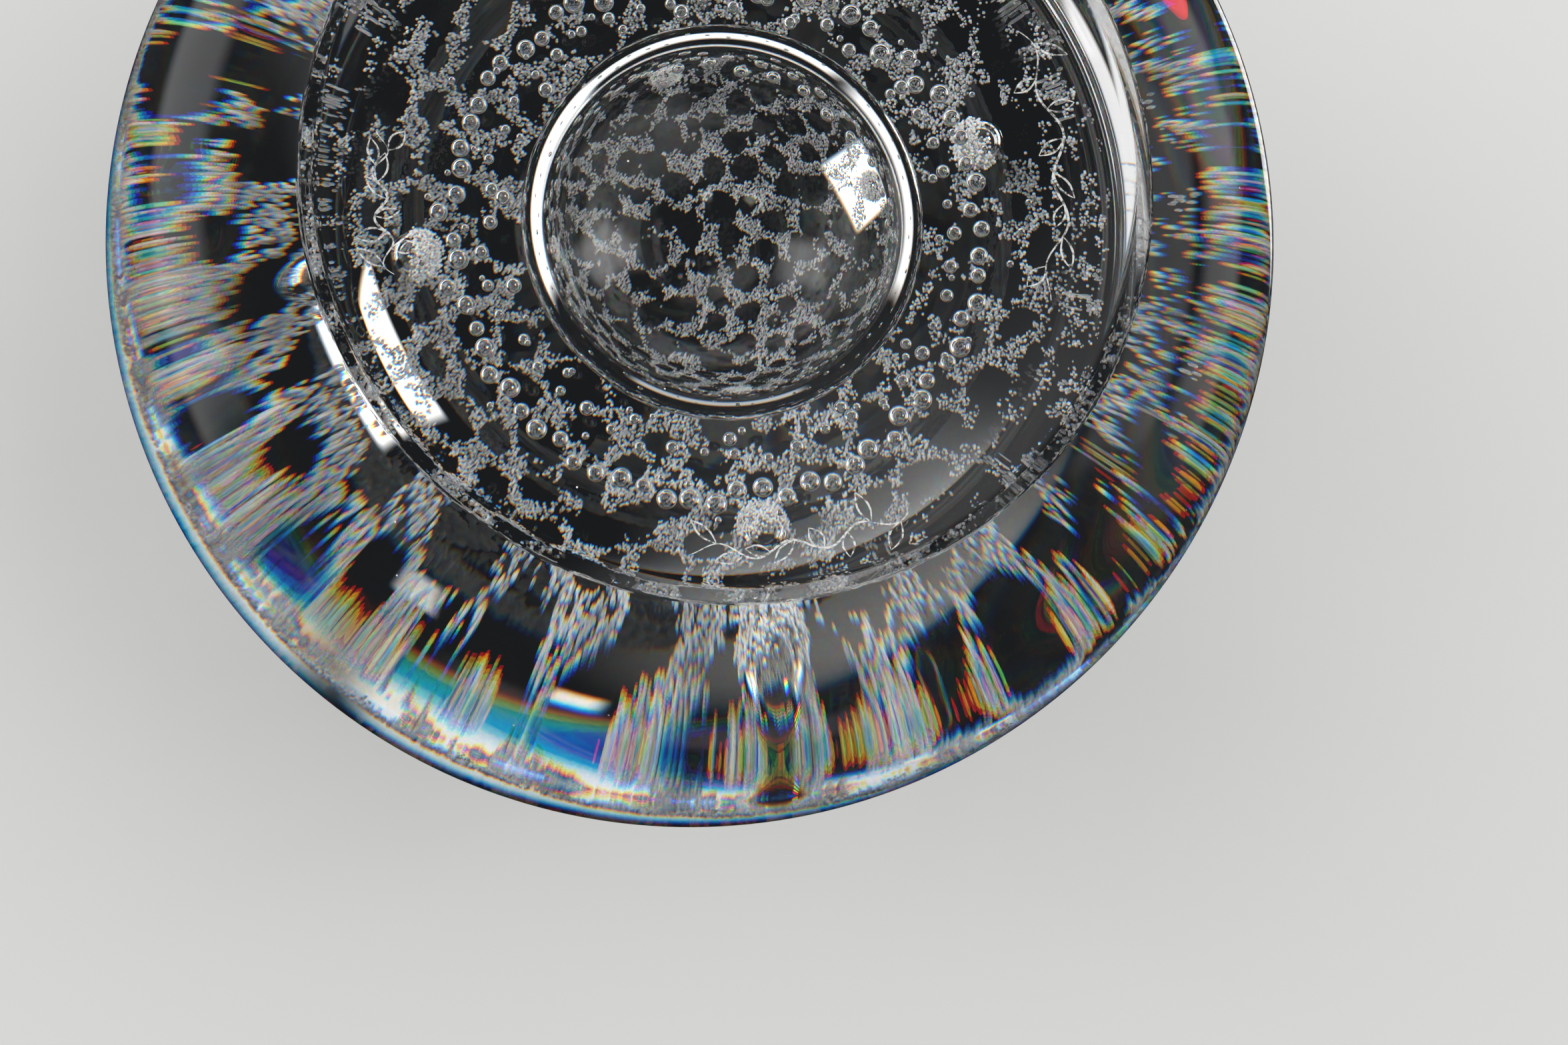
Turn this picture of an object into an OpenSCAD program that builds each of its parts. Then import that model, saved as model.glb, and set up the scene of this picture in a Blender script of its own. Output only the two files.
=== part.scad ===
// Crystal paperweight: a clear glass dome on a hollow-ground foot, cased over a core gather that holds
// one large air bubble, a ring of small air bubbles and four accent bubbles under a veil of white lace.
// The axis of the dome is +Z, and the foot ring rests on Z = 0.

/* [Body] */
// Widest diameter of the dome
body_d = 78; // [76:1:80]
// Height of the widest line above the foot
equator_z = 20; // [19:0.5:21]
// How far the round of the dome runs on below the widest line, in degrees
dome_under = 10; // [6:1:12]
// Outer diameter of the flat foot ring
foot_d = 54.8; // [54:0.2:56]
// Width of the flat foot ring
foot_w = 0.9; // [0.8:0.1:1.5]

/* [Recess] */
// Radius of the hollow-ground recess under the foot
recess_r = 90; // [80:5:100]

/* [Core] */
// Radius of the domed top of the core gather
core_r = 34; // [33.5:0.1:34.5]
// Height of the centre of that dome
core_z = 7; // [6.8:0.1:7.4]
// Radius of the straight side of the core gather
core_side_r = 29; // [28.5:0.1:29.5]
// How far the core lies off the axis of the foot
core_shift = 1.2; // [0.2:0.1:2]
// Diameter of the large central bubble
bubble_d = 28.2; // [27.6:0.1:28.4]
// Height of the widest line of the central bubble
bubble_z = 17.6; // [17:0.1:18.5]
// Radius of the flattened underside of the central bubble
bubble_under_r = 50; // [40:1:60]
// Radius of the rounded edge of that underside
bubble_edge_r = 4; // [3.5:0.1:4.5]

/* [Lace] */
// Thickness of the lace veil
lace_t = 0.6; // [0.4:0.1:0.8]
// Lowest edge of the veil
hem_z = 28.4; // [28:0.1:30]
// Height where the crown of the veil meets its skirt
crown_z = 36; // [34:0.5:38]

/* [Bubbles] */
// Radius of the main ring of bubbles
chain_r = 19.4; // [19:0.1:19.6]
// Number of bubbles in the main ring
chain_n = 70; // [40:1:72]
// Radius of the inner ring of bubbles
inner_r = 16.6; // [16.4:0.1:16.8]
// Number of bubbles in the inner ring
inner_n = 46; // [20:1:48]
// Number of satellite bubbles close to the central bubble
satellite_n = 14; // [6:1:20]
// Number of tiny seed bubbles
seed_n = 60; // [20:1:70]
// Radius of the circle of accent bubbles
accent_ring_r = 22.1; // [21.6:0.1:22.1]
// Diameter of an accent bubble
accent_d = 3.5; // [3:0.1:3.6]

/* [Hidden] */

body_r = body_d / 2;
foot_r = foot_d / 2;
rim_r = foot_r - foot_w;
// The dome runs on as one sphere below its widest line, then turns smoothly into the skirt.
// The skirt is the arc that leaves the dome without a crease and ends on the foot ring.
join_z = equator_z - body_r * sin(dome_under);
reach = foot_r * cos(dome_under) + equator_z * sin(dome_under);
skirt_r = (foot_r * foot_r + equator_z * equator_z - 2 * body_r * reach + body_r * body_r)
    / (2 * (body_r - reach));
// The skirt stands this much proud of that, so the two curves cross in one clear line.
skirt_ease = 0.02;
skirt_x = (body_r - skirt_r) * cos(dome_under) + skirt_ease;
skirt_z = equator_z - (body_r - skirt_r) * sin(dome_under);
recess_depth = recess_r - sqrt(recess_r * recess_r - rim_r * rim_r);
cut = 5;
big = body_d;
// Direction in which the core lies off the axis of the foot, in degrees from +X.
core_turn = 9;
// The core tapers to this radius at the level of the foot.
core_neck_r = 18;
// The flattened underside of the central bubble meets its rounded edge in one smooth line.
edge_x = bubble_d / 2 - bubble_edge_r;
under_z = sqrt(pow(bubble_under_r - bubble_edge_r, 2) - edge_x * edge_x);
meet_x = edge_x * bubble_under_r / (bubble_under_r - bubble_edge_r);

chain_z = 24;
chain_tier = 2;
chain_sizes = rands(0.56, 0.8, chain_n, 11);
chain_shifts = rands(-0.7, 0.7, chain_n, 12);
inner_z = 21.4;
inner_sizes = rands(0.3, 0.55, inner_n, 21);
inner_shifts = rands(-0.4, 0.5, inner_n, 22);
satellite_r = 15.4;
satellite_z = 18.4;
satellite_sizes = rands(0.3, 0.6, satellite_n, 31);
satellite_turns = rands(-6, 6, satellite_n, 32);
seed_z = 16;
seed_sizes = rands(0.2, 0.3, seed_n, 41);
seed_radii = rands(15, 21.5, seed_n, 42);
accent_z = 30;
// The accent bubbles stand a little unevenly round their circle.
accent_turns = [72, 168, 249, 330];
accent_r = accent_d / 2;
frost_t = 0.18;
frost_drop = 0.2;

// Outline of the skirt, open wide above the line where it leaves the dome.
module skirt_outline() {
    translate([0, join_z]) square([big, big]);
    square([skirt_x, join_z]);
    intersection() {
        translate([skirt_x, skirt_z]) circle(r = skirt_r, $fn = 180);
        translate([skirt_x, 0]) square([skirt_r, join_z]);
    }
}

// Solid outline of the whole glass, before the recess is ground away.
module glass_outline() {
    intersection() {
        translate([0, equator_z]) circle(r = body_r, $fn = 180);
        skirt_outline();
    }
}

// Hollow-ground recess under the foot, one shallow polished hollow.
module recess_outline() {
    intersection() {
        translate([0, recess_depth - recess_r]) circle(r = recess_r, $fn = 360);
        translate([0, -cut]) square([body_r, cut + recess_depth]);
    }
}

module core_outline() {
    intersection() {
        translate([0, core_z]) circle(r = core_r, $fn = 240);
        polygon([
            [0, 0],
            [core_neck_r, 0],
            [core_side_r, core_side_r - core_neck_r],
            [core_side_r, big],
            [0, big]
        ]);
    }
}

// The central bubble: a round top on a flattened underside with a rounded edge.
module bubble_outline() {
    intersection() {
        circle(r = bubble_d / 2, $fn = 180);
        square([bubble_d, bubble_d]);
    }
    intersection() {
        translate([0, under_z]) circle(r = bubble_under_r, $fn = 240);
        translate([0, -bubble_d]) square([meet_x, bubble_d]);
    }
    intersection() {
        translate([edge_x, 0]) circle(r = bubble_edge_r, $fn = 120);
        translate([meet_x, -bubble_d]) square([bubble_d, bubble_d]);
    }
}

// Everything inside the core lies off the axis of the foot with it.
module off_axis() {
    rotate([0, 0, core_turn]) translate([core_shift, 0, 0]) children();
}

// Band of the veil between two heights, laid on the core.
module veil_outline(low, high) {
    intersection() {
        difference() {
            translate([0, core_z]) circle(r = core_r + lace_t, $fn = 240);
            translate([0, core_z]) circle(r = core_r, $fn = 240);
        }
        translate([0, low]) square([big, high - low]);
    }
}

module lace_crown() {
    color("WhiteSmoke") off_axis() rotate_extrude($fn = 180) veil_outline(crown_z, core_z + core_r + cut);
}

module lace_hem() {
    color("Gainsboro") off_axis() rotate_extrude($fn = 180) veil_outline(hem_z, crown_z);
}

module central_bubble() {
    color("LightSteelBlue") off_axis() translate([0, 0, bubble_z]) rotate_extrude($fn = 180) bubble_outline();
}

// One air bubble at a turn round the axis.
module air(turn, ring, height, size) {
    off_axis() rotate([0, 0, turn]) translate([ring, 0, height]) sphere(r = size, $fn = 32);
}

module ring_bubbles_main() {
    color("LightCyan") for (i = [0 : chain_n - 1])
        air(i * 360 / chain_n, chain_r + chain_shifts[i], chain_z + chain_tier * (i % 2), chain_sizes[i]);
}

module ring_bubbles_inner() {
    color("PowderBlue") for (i = [0 : inner_n - 1])
        air(i * 360 / inner_n, inner_r + inner_shifts[i], inner_z - (i % 2), inner_sizes[i]);
}

module satellite_bubbles() {
    color("LightBlue") for (i = [0 : satellite_n - 1])
        air(i * 360 / satellite_n + satellite_turns[i], satellite_r, satellite_z, satellite_sizes[i]);
}

module seed_bubbles() {
    color("AliceBlue") for (i = [0 : seed_n - 1])
        air(i * 360 / seed_n, seed_radii[i], seed_z - (i % 3) * 0.8, seed_sizes[i]);
}

module accent_bubbles() {
    color("LightCyan") for (turn = accent_turns)
        air(turn, accent_ring_r, accent_z, accent_r);
}

// Frosted cap on the upper side of each accent bubble.
module accent_frost() {
    color("White") for (turn = accent_turns)
        off_axis() rotate([0, 0, turn]) translate([accent_ring_r, 0, accent_z])
            rotate_extrude($fn = 48) intersection() {
                difference() {
                    circle(r = accent_r + frost_t, $fn = 48);
                    circle(r = accent_r, $fn = 48);
                }
                translate([0, frost_drop]) square([accent_d, accent_d]);
            }
}

module core_gather() {
    color("Azure") difference() {
        off_axis() rotate_extrude($fn = 180) core_outline();
        rotate_extrude($fn = 180) recess_outline();
        central_bubble();
        ring_bubbles_main();
        ring_bubbles_inner();
        satellite_bubbles();
        seed_bubbles();
        accent_bubbles();
        accent_frost();
    }
}

module outer_casing() {
    color("GhostWhite") difference() {
        rotate_extrude($fn = 180) difference() {
            glass_outline();
            recess_outline();
        }
        off_axis() rotate_extrude($fn = 180) {
            core_outline();
            veil_outline(hem_z, core_z + core_r + cut);
        }
    }
}

outer_casing();
core_gather();
central_bubble();
lace_crown();
lace_hem();
ring_bubbles_main();
ring_bubbles_inner();
satellite_bubbles();
seed_bubbles();
accent_bubbles();
accent_frost();
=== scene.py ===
"""Crystal paperweight: the glass, its bubbles, lace and engraving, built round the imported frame."""
import math
import random

import bmesh
import bpy
from mathutils import Matrix, Vector, noise


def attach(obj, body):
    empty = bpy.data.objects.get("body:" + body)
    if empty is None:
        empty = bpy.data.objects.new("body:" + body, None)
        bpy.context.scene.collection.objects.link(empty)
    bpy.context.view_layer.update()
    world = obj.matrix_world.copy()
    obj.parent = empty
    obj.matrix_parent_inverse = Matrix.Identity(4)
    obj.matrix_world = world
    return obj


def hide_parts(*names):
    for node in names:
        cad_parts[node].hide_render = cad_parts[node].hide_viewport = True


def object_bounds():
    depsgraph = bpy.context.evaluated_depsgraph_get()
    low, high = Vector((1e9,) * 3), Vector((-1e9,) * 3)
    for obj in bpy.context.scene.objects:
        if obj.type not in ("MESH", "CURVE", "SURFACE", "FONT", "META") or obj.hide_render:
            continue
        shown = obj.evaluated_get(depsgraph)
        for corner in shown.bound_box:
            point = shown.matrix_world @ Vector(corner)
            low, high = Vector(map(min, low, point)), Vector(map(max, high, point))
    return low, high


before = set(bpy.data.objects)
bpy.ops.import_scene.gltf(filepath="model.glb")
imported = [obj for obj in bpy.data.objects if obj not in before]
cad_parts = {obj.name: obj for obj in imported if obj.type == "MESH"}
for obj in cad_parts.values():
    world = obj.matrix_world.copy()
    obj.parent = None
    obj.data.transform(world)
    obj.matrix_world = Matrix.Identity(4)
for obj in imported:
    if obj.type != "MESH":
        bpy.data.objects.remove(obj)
CAD_LOW, CAD_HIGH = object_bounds()

MM = 0.001
BALL_GAP = 1e-7       # vertices of a CAD ball that are closer than this are one

# ---------------------------------------------------------------- sizes, as in the CAD, in millimetres
BODY_R = 39.0
EQUATOR_Z = 20.0
DOME_UNDER = 10.0
FOOT_R = 27.4
FOOT_W = 0.9
RIM_R = FOOT_R - FOOT_W
RECESS_R = 90.0
CORE_R = 34.0
CORE_Z = 7.0
CORE_TURN = math.radians(9)
CORE_SHIFT = 1.2 * Vector((math.cos(CORE_TURN), math.sin(CORE_TURN), 0))
BUBBLE_R = 14.1
BUBBLE_Z = 17.6
BUBBLE_UNDER_R = 50.0
BUBBLE_EDGE_R = 4.0
LACE_T = 0.6
HEM_Z = 28.4
LACE_SPLIT_Z = 36.0

# ---------------------------------------------------------------- fineness of the meshes
GLASS_SEGMENTS = 256
RECESS_STEPS, SKIRT_STEPS, DOME_STEPS = 60, 90, 160
FOOT_EDGE = 0.15      # width of the strip along each edge of the foot ring
BUBBLE_SEGMENTS = 192
UNDER_STEPS, EDGE_STEPS, TOP_STEPS = 40, 40, 80
BALL_LEVELS = {
    "ring_bubbles_main": 3, "ring_bubbles_inner": 3, "satellite_bubbles": 3, "seed_bubbles": 2, "accent_bubbles": 4,
}
SPECK_LEVEL = 1

# ---------------------------------------------------------------- glass and air
IOR = 1.52
# Index and colour of each band that the crystal splits light into; the colours add up to white.
IOR_BANDS = [
    (1.505, (0.60, 0.0, 0.0, 1)), (1.512, (0.40, 0.35, 0.0, 1)), (1.520, (0.0, 0.45, 0.10, 1)),
    (1.528, (0.0, 0.20, 0.40, 1)), (1.536, (0.0, 0.0, 0.50, 1)),
]
GLASS_CLEAR = 0.93    # share of a lamp's light that a wall of glass lets through
AIR_CLEAR = 0.97      # and the wall of a bubble
SURFACE_NOISE = {"grind": (2600, 3), "wipe": (1, 2), "wave": (90, 1)}  # scale and detail
WIPE_TURN = (0.2, 0.1, 0.6)
WIPE_STRETCH = (60, 1400, 1400)
WAVE_DEPTH = 0.00002
LINT_CELLS = 520
LINT_SHARE = 0.8      # share of the cells that stay clean
FOOT_FADE = (0.00002, 0.00012)   # heights between which the ground foot fades out, in metres
CLUMP_NOISE = (420, 4)           # scale and detail of the drift from clump to clump
GRAIN_SIZE = (0.0003, 0.0003, 0.0003)
GRAIN_SHARE = 0.4
SKIP_NOISE = (3200, 3)           # scale and detail of the gaps in a scratch


# ---------------------------------------------------------------- small helpers
def new_object(name, mesh, mat):
    """Links a mesh to the scene as a piece with one material, smooth all over."""
    piece = bpy.data.objects.new(name, mesh)
    bpy.context.scene.collection.objects.link(piece)
    mesh.materials.append(mat)
    mesh.shade_smooth()
    return piece


def arc(centre, radius, start, end, count):
    """Points on an arc in the (r, z) plane, from start to end degrees."""
    turns = [math.radians(start + (end - start) * i / count) for i in range(count + 1)]
    return [(centre[0] + radius * math.cos(t), centre[1] + radius * math.sin(t)) for t in turns]


def on_axis(points):
    """The same outline with both ends put exactly on the axis."""
    return [(0.0, points[0][1]), *points[1:-1], (0.0, points[-1][1])]


def lathe(points, segments):
    """Mesh turned round +Z from (r, z) points in millimetres; r of 0 closes it on the axis."""
    mesh = bpy.data.meshes.new("lathe")
    made = bmesh.new()
    rings = []
    for r, z in points:
        if r < 1e-6:
            rings.append([made.verts.new((0, 0, z * MM))])
            continue
        ring = []
        for k in range(segments):
            turn = 2 * math.pi * k / segments
            ring.append(made.verts.new((r * MM * math.cos(turn), r * MM * math.sin(turn), z * MM)))
        rings.append(ring)
    for a, b in zip(rings, rings[1:]):
        for k in range(segments):
            n = (k + 1) % segments
            if len(a) == 1:
                made.faces.new((a[0], b[n], b[k]))
            elif len(b) == 1:
                made.faces.new((a[k], a[n], b[0]))
            else:
                made.faces.new((a[k], a[n], b[n], b[k]))
    bmesh.ops.recalc_face_normals(made, faces=made.faces)
    made.to_mesh(mesh)
    made.free()
    return mesh


def ball_template(level):
    """Vertices and faces of a unit icosphere."""
    made = bmesh.new()
    bmesh.ops.create_icosphere(made, subdivisions=level, radius=1)
    made.verts.index_update()
    verts = [v.co.copy() for v in made.verts]
    faces = [[v.index for v in f.verts] for f in made.faces]
    made.free()
    return verts, faces


def balls(name, spots, level, mat):
    """One piece of many small balls: spots holds (centre, radius) in metres."""
    verts, faces = ball_template(level)
    all_verts, all_faces = [], []
    for centre, radius in spots:
        first = len(all_verts)
        all_verts.extend(centre + v * radius for v in verts)
        all_faces.extend([[first + i for i in f] for f in faces])
    mesh = bpy.data.meshes.new(name)
    mesh.from_pydata(all_verts, [], all_faces)
    mesh.update()
    return new_object(name, mesh, mat)


def islands(node):
    """Centre and radius of each ball in a CAD node, in metres."""
    made = bmesh.new()
    made.from_mesh(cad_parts[node].data)
    bmesh.ops.remove_doubles(made, verts=made.verts, dist=BALL_GAP)
    left, found = set(made.verts), []
    while left:
        todo, part = [left.pop()], []
        while todo:
            vert = todo.pop()
            part.append(vert.co.copy())
            for edge in vert.link_edges:
                other = edge.other_vert(vert)
                if other in left:
                    left.remove(other)
                    todo.append(other)
        low = Vector([min(c[i] for c in part) for i in range(3)])
        high = Vector([max(c[i] for c in part) for i in range(3)])
        found.append(((low + high) / 2, (high - low).z / 2))
    made.free()
    found.sort(key=lambda s: (round(math.atan2(s[0].y, s[0].x), 4), s[0].z))
    return found


# ---------------------------------------------------------------- materials
def material(name):
    """New material with an empty node tree."""
    mat = bpy.data.materials.new(name)
    mat.use_nodes = True
    mat.node_tree.nodes.clear()
    return mat, mat.node_tree.nodes, mat.node_tree.links


def crystal_material():
    """Clear crystal that splits light a little where it enters, and lets lamps through to the lace."""
    mat, nodes, links = material("crystal")
    out = nodes.new("ShaderNodeOutputMaterial")
    rough, normal, dust = crystal_surface(nodes, links)
    total = None
    for ior, colour in IOR_BANDS:
        bend = nodes.new("ShaderNodeBsdfRefraction")
        bend.inputs["IOR"].default_value = ior
        bend.inputs["Color"].default_value = colour
        links.new(rough, bend.inputs["Roughness"])
        links.new(normal, bend.inputs["Normal"])
        total = add_up(nodes, links, total, bend.outputs[0])
    shine = nodes.new("ShaderNodeBsdfGlossy")
    fresnel = nodes.new("ShaderNodeFresnel")
    fresnel.inputs["IOR"].default_value = IOR
    leave = nodes.new("ShaderNodeBsdfGlass")
    leave.inputs["IOR"].default_value = IOR
    for shader in (shine, leave):
        links.new(rough, shader.inputs["Roughness"])
        links.new(normal, shader.inputs["Normal"])
    side = nodes.new("ShaderNodeNewGeometry")
    lint = nodes.new("ShaderNodeBsdfDiffuse")
    lint.inputs["Color"].default_value = (0.72, 0.72, 0.70, 1)
    enter = blend(nodes, links, fresnel.outputs[0], total, shine.outputs[0])
    either = blend(nodes, links, side.outputs["Backfacing"], enter, leave.outputs[0])
    dusty = blend(nodes, links, dust, either, lint.outputs[0])
    lamp_through(nodes, links, dusty, out, GLASS_CLEAR)
    return mat


def add_up(nodes, links, total, shader):
    """Sum of two shaders, or the second alone while there is no first."""
    if total is None:
        return shader
    add = nodes.new("ShaderNodeAddShader")
    links.new(total, add.inputs[0])
    links.new(shader, add.inputs[1])
    return add.outputs[0]


def blend(nodes, links, factor, first, second):
    """Mix of two shaders by a socket."""
    mix = nodes.new("ShaderNodeMixShader")
    links.new(factor, mix.inputs[0])
    links.new(first, mix.inputs[1])
    links.new(second, mix.inputs[2])
    return mix.outputs[0]


def ramp(nodes, links, value, low, high, first, last):
    """Smooth step of a socket from first at low to last at high."""
    step = nodes.new("ShaderNodeMapRange")
    step.interpolation_type = "SMOOTHSTEP"
    step.inputs["From Min"].default_value = low
    step.inputs["From Max"].default_value = high
    step.inputs["To Min"].default_value = first
    step.inputs["To Max"].default_value = last
    links.new(value, step.inputs["Value"])
    return step.outputs[0]


def noise_texture(nodes, links, vector, scale, detail):
    """Brightness of a noise texture that follows a vector socket."""
    texture = nodes.new("ShaderNodeTexNoise")
    texture.inputs["Scale"].default_value = scale
    texture.inputs["Detail"].default_value = detail
    links.new(vector, texture.inputs["Vector"])
    return texture.outputs[0]


def math_node(nodes, links, operation, first, second=None):
    """Math on a socket, and on another socket or a number if there is one."""
    node = nodes.new("ShaderNodeMath")
    node.operation = operation
    links.new(first, node.inputs[0])
    if second is None:
        return node.outputs[0]
    if isinstance(second, (int, float)):
        node.inputs[1].default_value = second
    else:
        links.new(second, node.inputs[1])
    return node.outputs[0]


def ground_foot(nodes, links, place):
    """Roughness of the ground foot ring."""
    split = nodes.new("ShaderNodeSeparateXYZ")
    links.new(place, split.inputs[0])
    foot = ramp(nodes, links, split.outputs["Z"], *FOOT_FADE, 1.0, 0.0)
    grind = noise_texture(nodes, links, place, *SURFACE_NOISE["grind"])
    return math_node(nodes, links, "MULTIPLY", foot, ramp(nodes, links, grind, 0.45, 0.7, 0.0, 0.25))


def wiping_scratches(nodes, links, place):
    """Roughness of the long fine scratches that wiping leaves."""
    stretch = nodes.new("ShaderNodeMapping")
    stretch.inputs["Rotation"].default_value = WIPE_TURN
    stretch.inputs["Scale"].default_value = WIPE_STRETCH
    links.new(place, stretch.inputs["Vector"])
    wipe = noise_texture(nodes, links, stretch.outputs[0], *SURFACE_NOISE["wipe"])
    return ramp(nodes, links, wipe, 0.70, 0.78, 0.0, 0.05)


def faint_waves(nodes, links, place):
    """Normal of the fire-polished skin, which is never quite flat."""
    bump = nodes.new("ShaderNodeBump")
    bump.inputs["Strength"].default_value = 0.25
    bump.inputs["Distance"].default_value = WAVE_DEPTH
    links.new(noise_texture(nodes, links, place, *SURFACE_NOISE["wave"]), bump.inputs["Height"])
    return bump.outputs[0]


def lint_specks(nodes, links, place):
    """Cover of the dots of lint, one in some of the cells."""
    cells = nodes.new("ShaderNodeTexVoronoi")
    cells.inputs["Scale"].default_value = LINT_CELLS
    links.new(place, cells.inputs["Vector"])
    chosen = nodes.new("ShaderNodeSeparateXYZ")
    links.new(cells.outputs["Color"], chosen.inputs[0])
    dot = ramp(nodes, links, cells.outputs["Distance"], 0.02, 0.045, 0.8, 0.0)
    return math_node(nodes, links, "MULTIPLY", dot,
                     math_node(nodes, links, "GREATER_THAN", chosen.outputs[0], LINT_SHARE))


def crystal_surface(nodes, links):
    """Roughness, normal and dust of the crystal."""
    place = nodes.new("ShaderNodeTexCoord").outputs["Object"]
    rough = math_node(nodes, links, "ADD", ground_foot(nodes, links, place), wiping_scratches(nodes, links, place))
    return rough, faint_waves(nodes, links, place), lint_specks(nodes, links, place)


def lamp_through(nodes, links, shader, out, clear):
    """Mixes in a Transparent shader for shadow rays, so lamps light what the glass shuts in."""
    path = nodes.new("ShaderNodeLightPath")
    open_ = nodes.new("ShaderNodeBsdfTransparent")
    open_.inputs["Color"].default_value = (clear, clear, clear, 1)
    links.new(blend(nodes, links, path.outputs["Is Shadow Ray"], shader, open_.outputs[0]), out.inputs["Surface"])


def air_wall(nodes):
    """Shader of the wall of a bubble inside the glass, where light goes from glass to air."""
    wall = nodes.new("ShaderNodeBsdfGlass")
    wall.inputs["IOR"].default_value = 1 / IOR
    wall.inputs["Roughness"].default_value = 0.0
    return wall.outputs[0]


def air_material():
    """Wall of a large bubble."""
    mat, nodes, links = material("air_wall")
    out = nodes.new("ShaderNodeOutputMaterial")
    lamp_through(nodes, links, air_wall(nodes), out, AIR_CLEAR)
    return mat


def small_air_painted_rim_material():
    """Wall of a small air bubble, with a painted highlight: a white matt ring mixed in towards its rim, in place of
    the light the rim reflects.
    """
    mat, nodes, links = material("small_air_wall_painted_rim")
    out = nodes.new("ShaderNodeOutputMaterial")
    # White matt colour of the painted highlight along the rim of the bubble.
    painted_rim_glint = nodes.new("ShaderNodeBsdfDiffuse")
    painted_rim_glint.inputs["Color"].default_value = (0.86, 0.87, 0.88, 1)
    weight = nodes.new("ShaderNodeLayerWeight")
    weight.inputs["Blend"].default_value = 0.5
    # Share of the painted highlight: none where the wall faces the view, rising towards the rim.
    ring = ramp(nodes, links, weight.outputs["Facing"], 0.45, 0.85, 0.0, 0.7)
    lamp_through(nodes, links, blend(nodes, links, ring, air_wall(nodes), painted_rim_glint.outputs[0]), out, AIR_CLEAR)
    return mat


def grain_material(name, dark, light, roughness):
    """White granular glass: the brightness drifts from clump to clump and from grain to grain."""
    mat, nodes, links = material(name)
    out = nodes.new("ShaderNodeOutputMaterial")
    skin = nodes.new("ShaderNodeBsdfPrincipled")
    skin.inputs["Roughness"].default_value = roughness
    place = nodes.new("ShaderNodeTexCoord").outputs["Object"]
    drift = noise_texture(nodes, links, place, *CLUMP_NOISE)
    grain = nodes.new("ShaderNodeTexWhiteNoise")
    snap = nodes.new("ShaderNodeVectorMath")
    snap.operation = "SNAP"
    snap.inputs[1].default_value = GRAIN_SIZE
    links.new(place, snap.inputs[0])
    links.new(snap.outputs[0], grain.inputs["Vector"])
    both = nodes.new("ShaderNodeMath")
    both.operation = "MULTIPLY_ADD"
    both.inputs[1].default_value = GRAIN_SHARE
    links.new(grain.outputs["Value"], both.inputs[0])
    links.new(drift, both.inputs[2])
    tone = nodes.new("ShaderNodeMapRange")
    tone.inputs["From Min"].default_value = 0.45
    tone.inputs["From Max"].default_value = 1.0
    links.new(both.outputs[0], tone.inputs["Value"])
    shade = nodes.new("ShaderNodeMix")
    shade.data_type = "RGBA"
    shade.inputs["A"].default_value = dark
    shade.inputs["B"].default_value = light
    links.new(tone.outputs[0], shade.inputs["Factor"])
    links.new(shade.outputs["Result"], skin.inputs["Base Color"])
    links.new(skin.outputs[0], out.inputs["Surface"])
    return mat


# ---------------------------------------------------------------- camera
FRAME_WIDTH = 105.2   # width of the picture at the widest line of the glass
LENS = 135.0
TILT, LEAN = 12.5, 50.0
AIM_RIGHT, AIM_DOWN = 6.26, 18.6


def make_camera():
    """Looks up at the hollow base from below, a little to one side, with the glass high in the frame."""
    tilt, lean = math.radians(TILT), math.radians(LEAN)
    forward = Vector((math.sin(tilt) * math.cos(lean), -math.sin(tilt) * math.sin(lean), math.cos(tilt)))
    right = (Vector((1, 0, 0)) - forward.x * forward).normalized()
    up = right.cross(forward)
    data = bpy.data.cameras.new("camera")
    data.lens = LENS
    distance = FRAME_WIDTH * LENS / data.sensor_width
    aim = Vector((0, 0, EQUATOR_Z)) + AIM_RIGHT * right - AIM_DOWN * up
    camera = bpy.data.objects.new("camera", data)
    turn = Matrix((right, up, -forward)).transposed().to_4x4()
    camera.matrix_world = Matrix.Translation((aim - distance * forward) * MM) @ turn
    data.clip_start, data.clip_end = 0.01, 10
    bpy.context.scene.collection.objects.link(camera)
    bpy.context.scene.camera = camera
    return right, up, forward


# ---------------------------------------------------------------- stage and lights
def one_sided(name, colour):
    """Pale matt surface that only one side shows."""
    mat, nodes, links = material(name)
    out = nodes.new("ShaderNodeOutputMaterial")
    matt = nodes.new("ShaderNodeBsdfDiffuse")
    matt.inputs["Color"].default_value = colour
    open_ = nodes.new("ShaderNodeBsdfTransparent")
    side = nodes.new("ShaderNodeNewGeometry").outputs["Backfacing"]
    links.new(blend(nodes, links, side, matt.outputs[0], open_.outputs[0]), out.inputs["Surface"])
    return mat


def stage_plane(name, height, half, down, mat):
    """Square of the stage that only the camera sees, turned up or down."""
    mesh = bpy.data.meshes.new(name)
    corners = [(-half, -half, height), (half, -half, height), (half, half, height), (-half, half, height)]
    mesh.from_pydata(corners, [], [[3, 2, 1, 0] if down else [0, 1, 2, 3]])
    mesh.materials.append(mat)
    plane = bpy.data.objects.new(name, mesh)
    bpy.context.scene.collection.objects.link(plane)
    plane.visible_diffuse = False
    plane.visible_glossy = False
    plane.visible_transmission = False
    plane.visible_shadow = False


STAGE_MIDDLE = Vector((0, 0, 0.02))   # what the lamps are aimed at, in metres
WORLD_COLOUR, WORLD_STRENGTH = (0.80, 0.80, 0.79, 1), 0.8
PALE = (0.45, 0.45, 0.445, 1)
FLOOR_HALF, BOARD_HALF = 3.0, 0.25    # half widths of the floor and of the upper board, in metres
ROOM_R = 3
ROOM_DARK = (0.010, 0.011, 0.012)
FRONT_EDGE = 0.1                      # how gently a bright part ends where the room turns away from it
WHITE = (1.0, 1.0, 1.0)
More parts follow.
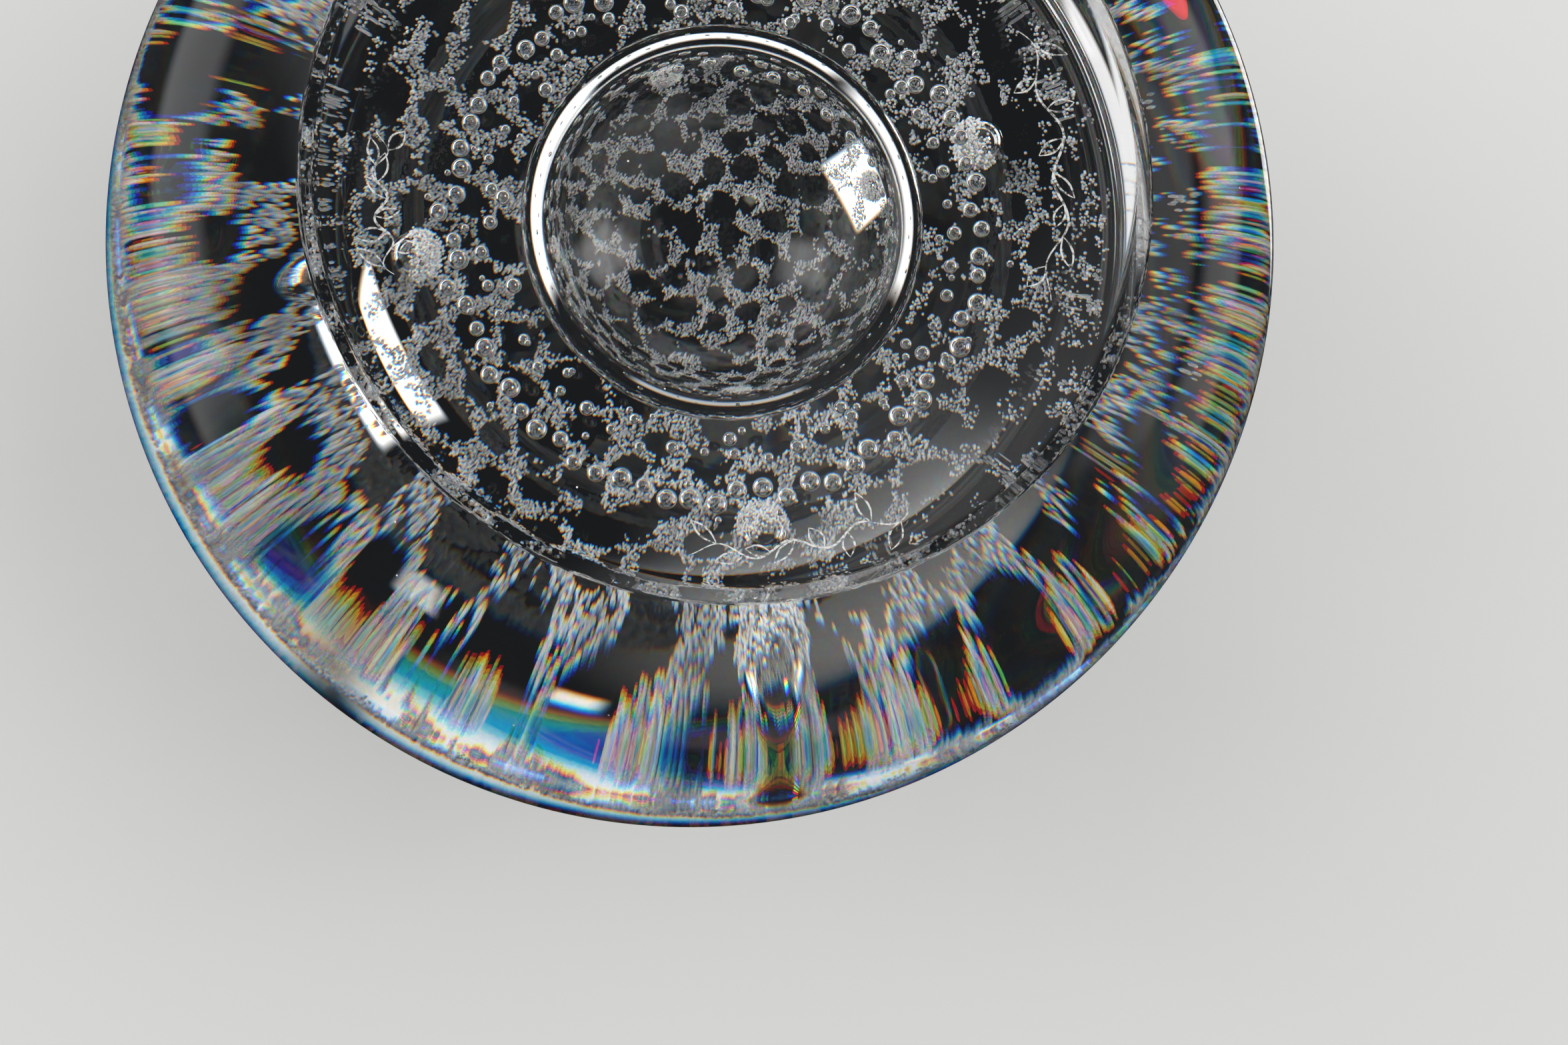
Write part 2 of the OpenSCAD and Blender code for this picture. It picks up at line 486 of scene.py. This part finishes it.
# Bright parts of the room: direction, half width, half height, softness, strength, colour.
ROOM_LIGHTS = [
    ((-0.05, -0.92, 0.18), 0.62, 0.17, 0.05, 1.2, WHITE),               # far wall, above the horizon
    ((-0.92, -0.30, 0.20), 0.55, 0.27, 0.08, 1.5, WHITE),               # left wall
    ((0.95, -0.30, 0.10), 0.50, 0.20, 0.08, 1.3, WHITE),                # right wall
    ((0.80, -0.05, -0.40), 0.35, 0.22, 0.06, 0.9, WHITE),               # right, towards the foot
    ((0.0, 0.98, 0.16), 0.50, 0.10, 0.06, 0.5, WHITE),                  # near wall
    ((0.48, -0.29, 0.825), 0.10, 0.09, 0.012, 2.0, (1.0, 0.98, 0.94)),  # window high on the right
    ((-0.35, -0.60, -0.72), 0.35, 0.30, 0.15, 0.9, WHITE),              # haze below the foot
    ((0.267, -0.297, -0.917), 0.026, 0.032, 0.012, 3.5, WHITE),         # right soft light
    ((0.033, -0.309, -0.950), 0.026, 0.028, 0.012, 3.5, WHITE),         # left soft light
]


def room_light(nodes, links, heading, toward, half_w, half_h, soft, strength):
    """Brightness of one soft-edged bright part of the room, by direction from the middle."""
    ahead = Vector(toward).normalized()
    side = ahead.cross(Vector((0, 0, 1))).normalized()
    rise = side.cross(ahead)

    def along(axis):
        dot = nodes.new("ShaderNodeVectorMath")
        dot.operation = "DOT_PRODUCT"
        dot.inputs[1].default_value = axis
        links.new(heading, dot.inputs[0])
        return dot.outputs["Value"]

    level = ramp(nodes, links, along(ahead), 0.0, FRONT_EDGE, 0.0, 1.0)
    for axis, half in ((side, half_w), (rise, half_h)):
        off = math_node(nodes, links, "ABSOLUTE", along(axis))
        level = math_node(nodes, links, "MULTIPLY", level,
                          ramp(nodes, links, off, half - soft, half + soft, 1.0, 0.0))
    return math_node(nodes, links, "MULTIPLY", level, strength)


def room_material():
    """Dark walls with the bright parts added to them."""
    mat, nodes, links = material("dark_room")
    out = nodes.new("ShaderNodeOutputMaterial")
    place = nodes.new("ShaderNodeTexCoord")
    heading = nodes.new("ShaderNodeVectorMath")
    heading.operation = "NORMALIZE"
    links.new(place.outputs["Object"], heading.inputs[0])
    base = nodes.new("ShaderNodeEmission")
    base.inputs["Color"].default_value = (*ROOM_DARK, 1)
    total = base.outputs[0]
    for *shape, colour in ROOM_LIGHTS:
        glow = nodes.new("ShaderNodeEmission")
        glow.inputs["Color"].default_value = (*colour, 1)
        links.new(room_light(nodes, links, heading.outputs[0], *shape), glow.inputs["Strength"])
        total = add_up(nodes, links, total, glow.outputs[0])
    links.new(total, out.inputs["Surface"])
    mat.cycles.emission_sampling = "NONE"
    return mat


def dark_room():
    """Dark surround with a few bright parts, which only the glass sees."""
    mesh = bpy.data.meshes.new("dark_room")
    made = bmesh.new()
    bmesh.ops.create_uvsphere(made, u_segments=64, v_segments=32, radius=ROOM_R)
    made.to_mesh(mesh)
    made.free()
    mesh.materials.append(room_material())
    room = bpy.data.objects.new("dark_room", mesh)
    bpy.context.scene.collection.objects.link(room)
    room.visible_camera = False
    room.visible_diffuse = False
    room.visible_shadow = False


def softbox(name, place, size, power):
    """Square lamp aimed at the glass, which lights the lace and is never seen itself."""
    data = bpy.data.lights.new(name, "AREA")
    data.shape = "RECTANGLE"
    data.size = data.size_y = size
    data.energy = power
    lamp = bpy.data.objects.new(name, data)
    lamp.location = place
    lamp.rotation_euler = (STAGE_MIDDLE - Vector(place)).to_track_quat("-Z", "Y").to_euler()
    bpy.context.scene.collection.objects.link(lamp)
    lamp.visible_camera = False
    lamp.visible_glossy = False
    lamp.visible_transmission = False


def make_stage(right, up, forward):
    """World, floor, board, room and lamps; two of the lamps stand beside the main camera."""
    world = bpy.data.worlds.new("pale")
    world.use_nodes = True
    world.node_tree.nodes["Background"].inputs[0].default_value = WORLD_COLOUR
    world.node_tree.nodes["Background"].inputs[1].default_value = WORLD_STRENGTH
    bpy.context.scene.world = world
    stage_plane("floor", 0.0, FLOOR_HALF, False, one_sided("floor", PALE))
    stage_plane("upper_board", CAD_HIGH.z, BOARD_HALF, True, one_sided("board", PALE))
    dark_room()

    def at(x, y, depth):
        """Place by the main camera's right, up and towards-the-camera directions, in metres."""
        return STAGE_MIDDLE + right * x + up * y - forward * depth

    softbox("softbox_left", at(-0.45, 0.20, 0.35), 0.30, 3.5)
    softbox("softbox_right", at(0.45, 0.15, 0.35), 0.30, 3.0)
    softbox("top_light", (0.3, -0.4, 0.7), 0.4, 3)
    softbox("back_light", (-0.5, 0.5, 0.4), 0.3, 2)


def light_paths():
    """Enough bounces for light to get through the glass, the bubbles and out again."""
    cycles = bpy.context.scene.cycles
    cycles.max_bounces = 24
    cycles.transmission_bounces = 24
    cycles.glossy_bounces = 16
    cycles.transparent_max_bounces = 48
    cycles.caustics_reflective = False
    cycles.caustics_refractive = False
    cycles.blur_glossy = 0.0
    bpy.context.scene.view_settings.view_transform = "Standard"


# ---------------------------------------------------------------- the glass
def recess_height(r):
    """Height of the hollow-ground recess above the foot, at a radius."""
    return math.sqrt(RECESS_R ** 2 - r ** 2) - math.sqrt(RECESS_R ** 2 - RIM_R ** 2)


def glass_profile():
    """Outline of the fused glass from the crown of the recess, round the foot and skirt, to the top."""
    lean = math.radians(DOME_UNDER)
    reach = FOOT_R * math.cos(lean) + EQUATOR_Z * math.sin(lean)
    skirt_r = (FOOT_R ** 2 + EQUATOR_Z ** 2 - 2 * BODY_R * reach + BODY_R ** 2) / (2 * (BODY_R - reach))
    skirt = ((BODY_R - skirt_r) * math.cos(lean), EQUATOR_Z - (BODY_R - skirt_r) * math.sin(lean))
    points = [(r, recess_height(r)) for r in [RIM_R * i / RECESS_STEPS for i in range(RECESS_STEPS + 1)]]
    points += [(RIM_R + FOOT_EDGE, 0.0), (FOOT_R - FOOT_EDGE, 0.0), (FOOT_R, 0.0)]
    low = math.degrees(math.atan2(-skirt[1], FOOT_R - skirt[0]))
    points += arc(skirt, skirt_r, low, -DOME_UNDER, SKIRT_STEPS)[1:]
    points += arc((0, EQUATOR_Z), BODY_R, -DOME_UNDER, 90, DOME_STEPS)[1:]
    return on_axis(points)


def make_glass(mat):
    """One fused body for the casing and the core."""
    glass = new_object("crystal_body", lathe(glass_profile(), GLASS_SEGMENTS), mat)
    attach(glass, "root")
    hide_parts("outer_casing", "core_gather")


# ---------------------------------------------------------------- bubbles
def bubble_profile():
    """Flattened underside, rounded edge and round top of the central bubble, about its widest line."""
    edge_x = BUBBLE_R - BUBBLE_EDGE_R
    under_z = math.sqrt((BUBBLE_UNDER_R - BUBBLE_EDGE_R) ** 2 - edge_x ** 2)
    lean = math.degrees(math.atan2(-under_z, edge_x))
    points = arc((0, under_z), BUBBLE_UNDER_R, -90, lean, UNDER_STEPS)
    points += arc((edge_x, 0), BUBBLE_EDGE_R, lean, 0, EDGE_STEPS)[1:]
    points += arc((0, 0), BUBBLE_R, 0, 90, TOP_STEPS)[1:]
    return on_axis(points)


def make_bubbles(mat, small_painted_rim_mat):
    """The central bubble from its outline, and the others where the CAD has them."""
    central = new_object("central_bubble_air", lathe(bubble_profile(), BUBBLE_SEGMENTS), mat)
    central.data.transform(Matrix.Translation((CORE_SHIFT + Vector((0, 0, BUBBLE_Z))) * MM))
    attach(central, "root")
    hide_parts("central_bubble")
    for node, level in BALL_LEVELS.items():
        piece = balls(node + "_air", islands(node), level, mat if node == "accent_bubbles" else small_painted_rim_mat)
        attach(piece, "root")
        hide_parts(node)


# ---------------------------------------------------------------- lace
HOLE_PITCH = 4.5
HOLE_R = 1.5
HOLE_SPREAD = (0.75, 1.35)            # how much single holes differ from that
HOLE_DRIFT = 0.5                      # how far a hole may lie from its place in the net
HEX_SHARE = 0.866                     # area of a net cell over its pitch squared
SPECK_R = (0.07, 0.155)
SPECKS = 31000
STRAYS = 190                          # small clusters that hang below the hem
STRAY_RISE = (31, 39)                 # degrees above the middle of the core
STRAY_SPECKS = (4, 16)
STRAY_SPREAD = 0.32
VEIL_SKIN = 0.02                      # how far specks stay under the outer face of the veil
LACE_SHIFT = CORE_SHIFT + Vector((-0.7, -0.2, 0))


def on_sphere(c, turn):
    """Point of the unit sphere at height c and at a turn round +Z."""
    s = math.sqrt(1 - c * c)
    return Vector((s * math.cos(turn), s * math.sin(turn), c))


def fibonacci_cap(count, radius, lowest):
    """Evenly spread points on a spherical cap down to the cosine lowest."""
    golden = math.pi * (3 - math.sqrt(5))
    return [on_sphere(1 - (1 - lowest) * (i + 0.5) / count, golden * i) * radius for i in range(count)]


def lace_holes(draw, lowest):
    """Middle and radius of each round hole, in a loose net."""
    area = 2 * math.pi * CORE_R ** 2 * (1 - lowest)
    middles = fibonacci_cap(int(area / (HEX_SHARE * HOLE_PITCH ** 2)), CORE_R, lowest)
    middles = [m + Vector([draw.uniform(-HOLE_DRIFT, HOLE_DRIFT) for _ in range(3)]) for m in middles]
    sizes = [HOLE_R * draw.uniform(*HOLE_SPREAD) for _ in middles]
    return list(zip(middles, sizes))


def veil_specks(draw):
    """Specks on the core, thick between round holes and thinning to a ragged hem."""
    lowest = (HEM_Z - CORE_Z) / CORE_R
    holes = lace_holes(draw, lowest)
    spots = []
    while len(spots) < SPECKS:
        c = draw.uniform(lowest, 1)
        p = on_sphere(c, draw.uniform(0, 2 * math.pi)) * CORE_R
        gap = min((p - middle).length - size for middle, size in holes)
        if gap < 0:
            continue
        clump = noise.noise(p * 0.55) + 0.8 * noise.noise(p * 1.9)
        hem = (c - lowest) / (1 - lowest) * 14 + noise.noise(p * 0.25) * 1.4
        if clump < 0.05 - 0.25 * (gap > 0.35) or hem < draw.uniform(0, 1.3):
            continue
        spots.append(lace_spot(draw, p, draw.uniform(*SPECK_R)))
    return spots


def stray_specks(draw):
    """Small clusters below the hem, every other one of them on the +X side."""
    spots = []
    for index in range(STRAYS):
        rise = math.radians(draw.uniform(*STRAY_RISE))
        turn = draw.gauss(-0.1, 0.5) if index % 2 else draw.uniform(0, 2 * math.pi)
        middle = Vector((math.cos(rise) * math.cos(turn), math.cos(rise) * math.sin(turn), math.sin(rise))) * CORE_R
        for _ in range(draw.randint(*STRAY_SPECKS)):
            p = middle + Vector([draw.gauss(0, STRAY_SPREAD) for _ in range(3)])
            spots.append(lace_spot(draw, p.normalized() * CORE_R, draw.uniform(*SPECK_R)))
    return spots


def lace_spot(draw, p, radius):
    """Place in metres of a speck that lies on the core at p, somewhere in the thickness of the veil."""
    lift = draw.uniform(radius, LACE_T - VEIL_SKIN)
    return (p * ((CORE_R + lift) / CORE_R) + Vector((0, 0, CORE_Z)) + LACE_SHIFT) * MM, radius * MM


def make_lace(mat):
    """The veil in two pieces, which meet where the two bands of the CAD meet."""
    draw = random.Random(5)
    spots = veil_specks(draw) + stray_specks(draw)
    for node, keep in (("lace_crown", lambda z: z >= LACE_SPLIT_Z), ("lace_hem", lambda z: z < LACE_SPLIT_Z)):
        piece = balls(node + "_specks", [s for s in spots if keep(s[0].z / MM)], SPECK_LEVEL, mat)
        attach(piece, "root")
        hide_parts(node)


FROST_GRAINS = 1500                   # draws for each accent bubble
FROST_R = (0.07, 0.14)


def make_frost(mat):
    """Frosted grains on the side of each accent bubble that faces the axis of the core."""
    draw = random.Random(9)
    spots = []
    for centre, radius in islands("accent_bubbles"):
        inward = CORE_SHIFT * MM - centre
        inward.z = 0
        inward.normalize()
        for _ in range(FROST_GRAINS):
            d = Vector([draw.gauss(0, 1) for _ in range(3)]).normalized()
            side = d.dot(inward) + draw.uniform(-0.3, 0.3)
            if side < 0.0:
                continue
            lift = draw.uniform(0.05, 0.15 + 0.75 * side * draw.random()) * MM
            spots.append((centre + d * (radius + lift), draw.uniform(*FROST_R) * MM))
    piece = balls("accent_frost_specks", spots, SPECK_LEVEL, mat)
    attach(piece, "root")
    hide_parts("accent_frost")


# ---------------------------------------------------------------- engraving
STROKE_W = 0.16     # width of an engraved stroke
LEAF_STROKE_W = STROKE_W * 0.85
STROKE_GAP = 0.02   # how far the strokes stand off the recess
STROKE_TIP = 0.3    # width of a stroke's ends, over the width of its middle
SPRIGS = [(21.8, -28, 20), (22.2, 164, 188), (24.0, 62, 97), (21.5, 228, 262)]  # radius, start, end
STEM_STEPS, LEAF_STEPS = 60, 12
LEAF_EVERY = 7      # steps of the stem between leaves


def ribbon(made, line, width):
    """Flat stroke along (x, y) points, laid on the recess and narrowed at both ends."""
    pairs = []
    for i, here in enumerate(line):
        before, after = line[max(i - 1, 0)], line[min(i + 1, len(line) - 1)]
        along = (after - before).normalized()
        swell = STROKE_TIP + (1 - STROKE_TIP) * math.sin(math.pi * i / (len(line) - 1))
        across = Vector((-along.y, along.x)) * width / 2 * swell
        pair = []
        for spot in (here - across, here + across):
            z = recess_height(spot.length) - STROKE_GAP
            pair.append(made.verts.new(Vector((spot.x, spot.y, z)) * MM))
        pairs.append(pair)
    for a, b in zip(pairs, pairs[1:]):
        made.faces.new((a[0], b[0], b[1], a[1]))


def leaf_lines(root, heading, length, fullness):
    """Two bowed strokes that close a leaf, from its root along a heading."""
    side = Vector((-heading.y, heading.x))
    lines = []
    for sign in (1, -1):
        lines.append([root + heading * length * t / LEAF_STEPS
                      + side * sign * fullness * math.sin(math.pi * t / LEAF_STEPS)
                      for t in range(LEAF_STEPS + 1)])
    return lines


def sprig_stem(radius, start, end):
    """Waving stem of a sprig along the foot, from start to end degrees."""
    stem = []
    for i in range(STEM_STEPS + 1):
        turn = math.radians(start + (end - start) * i / STEM_STEPS)
        reach = radius + 0.5 * math.sin(i * 0.33)
        stem.append(Vector((math.cos(turn), math.sin(turn))) * reach)
    return stem


def sprig_leaf(draw, stem, i):
    """Strokes of the leaf at point i of a stem, on one side of it or the other by turns."""
    along = (stem[i + 1] - stem[i]).normalized()
    sign = 1 if i % 2 else -1
    lean = math.radians(sign * draw.uniform(38, 60))
    heading = Vector((along.x * math.cos(lean) - along.y * math.sin(lean),
                      along.x * math.sin(lean) + along.y * math.cos(lean)))
    return leaf_lines(stem[i], heading, draw.uniform(1.6, 2.3), draw.uniform(0.3, 0.45))


def make_engraving(mat):
    """Small leaf sprigs scratched into the recess, near the foot."""
    draw = random.Random(8)
    made = bmesh.new()
    for radius, start, end in SPRIGS:
        stem = sprig_stem(radius, start, end)
        ribbon(made, stem, STROKE_W)
        for i in range(4, STEM_STEPS - 1, LEAF_EVERY):
            for line in sprig_leaf(draw, stem, i):
                ribbon(made, line, LEAF_STROKE_W)
    mesh = bpy.data.meshes.new("engraved_sprigs")
    made.to_mesh(mesh)
    made.free()
    piece = new_object("engraved_sprigs", mesh, mat)
    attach(piece, "root")


def scratched_material():
    """Dry white scratch with gaps where the point skipped."""
    mat, nodes, links = material("scratched")
    out = nodes.new("ShaderNodeOutputMaterial")
    place = nodes.new("ShaderNodeTexCoord").outputs["Object"]
    skips = noise_texture(nodes, links, place, *SKIP_NOISE)
    powder = nodes.new("ShaderNodeBsdfDiffuse")
    powder.inputs["Color"].default_value = (0.62, 0.62, 0.60, 1)
    powder.inputs["Roughness"].default_value = 0.8
    clear = nodes.new("ShaderNodeBsdfTransparent")
    cover = ramp(nodes, links, skips, 0.35, 0.6, 0.1, 0.75)
    links.new(blend(nodes, links, cover, clear.outputs[0], powder.outputs[0]), out.inputs["Surface"])
    return mat


# ---------------------------------------------------------------- build
right, up, forward = make_camera()
make_stage(right, up, forward)
light_paths()
make_glass(crystal_material())
make_bubbles(air_material(), small_air_painted_rim_material())
make_lace(grain_material("lace", (0.36, 0.37, 0.38, 1), (0.80, 0.81, 0.82, 1), 0.35))
make_frost(grain_material("frost", (0.80, 0.80, 0.80, 1), (0.96, 0.96, 0.95, 1), 0.5))
make_engraving(scratched_material())
